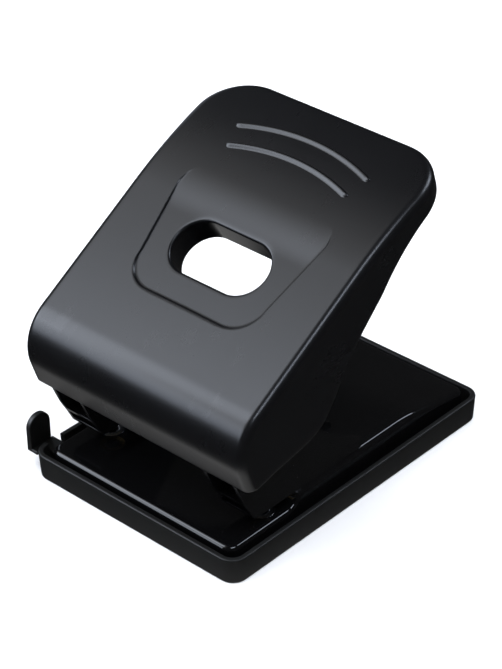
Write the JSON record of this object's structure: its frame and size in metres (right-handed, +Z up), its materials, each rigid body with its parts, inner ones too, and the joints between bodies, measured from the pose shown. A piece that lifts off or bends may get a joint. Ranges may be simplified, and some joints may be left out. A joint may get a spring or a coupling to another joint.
{
  "type": "hole punch",
  "caption": "Two-hole desk punch: wide slanted lever handle with a window, twin punch brackets on a low base, sliding side guide and chip tray.",
  "frame": {"origin": "centre of the tray's flat underside, on the desk", "axes": "+Z up, +Y from the paper side to the raised end of the handle, X across the width, hole spacing along X"},
  "size_m": [0.1172, 0.1476, 0.1291],
  "materials": {
    "handle_plastic": "satin",
    "tray_plastic": "matte, soft",
    "base_enamel": "gloss",
    "bracket_enamel": "semi-gloss",
    "nylon": "semi-matte",
    "steel": "ground and polished",
    "spring_steel": "bright drawn",
    "rivet_steel": "zinc plated",
    "brass": "turned"
  },
  "bodies": {
    "base": {"base_plate": "base_enamel", "bracket_left": "bracket_enamel", "bracket_right": "bracket_enamel", "die_left": "steel", "die_right": "steel", "guide_bush_left": "brass", "guide_bush_right": "brass", "return_spring_left": "spring_steel", "return_spring_right": "spring_steel", "rivet_left_front": "rivet_steel", "rivet_left_rear": "rivet_steel", "rivet_right_front": "rivet_steel", "rivet_right_rear": "rivet_steel", "hinge_axle": "steel", "axle_clip_left": "spring_steel", "axle_clip_right": "spring_steel", "guide_holder_left": "nylon", "guide_holder_right": "nylon"},
    "handle": {"handle_shell": "handle_plastic", "press_foot_left": "nylon", "press_foot_right": "nylon", "pivot_bush_left": "nylon", "pivot_bush_right": "nylon"},
    "pin_left": {"punch_pin_left": "steel", "pin_collar_left": "spring_steel"},
    "pin_right": {"punch_pin_right": "steel", "pin_collar_right": "spring_steel"},
    "guide": {"paper_guide": "nylon"},
    "tray": {"chip_tray": "tray_plastic"}
  },
  "joints": [
    {"name": "handle_press", "type": "hinge", "parent": "base", "child": "handle", "pos_m": [0, -0.0599, 0.0485], "axis": [-1, 0, 0], "range_deg": [0, 34], "stiffness_Nm_per_rad": 0.6, "springref_deg": -17.19, "deforming": ["return_spring_left", "return_spring_right"]},
    {"name": "pin_left_slide", "type": "slide", "parent": "base", "child": "pin_left", "axis": [0, 0, -1], "range_m": [0, 0.0103]},
    {"name": "pin_right_slide", "type": "slide", "parent": "base", "child": "pin_right", "axis": [0, 0, -1], "range_m": [0, 0.0103]},
    {"name": "guide_slide", "type": "slide", "parent": "base", "child": "guide", "axis": [-1, 0, 0], "range_m": [0, 0.075]},
    {"name": "tray_release", "type": "slide", "parent": "base", "child": "tray", "axis": [0, 0, -1], "range_m": [0, 0.03]}
  ],
  "couplings": [
    {"joint": "pin_left_slide", "follows": "handle_press", "m_per_rad": 0.0171},
    {"joint": "pin_right_slide", "follows": "handle_press", "m_per_rad": 0.0171}
  ]
}
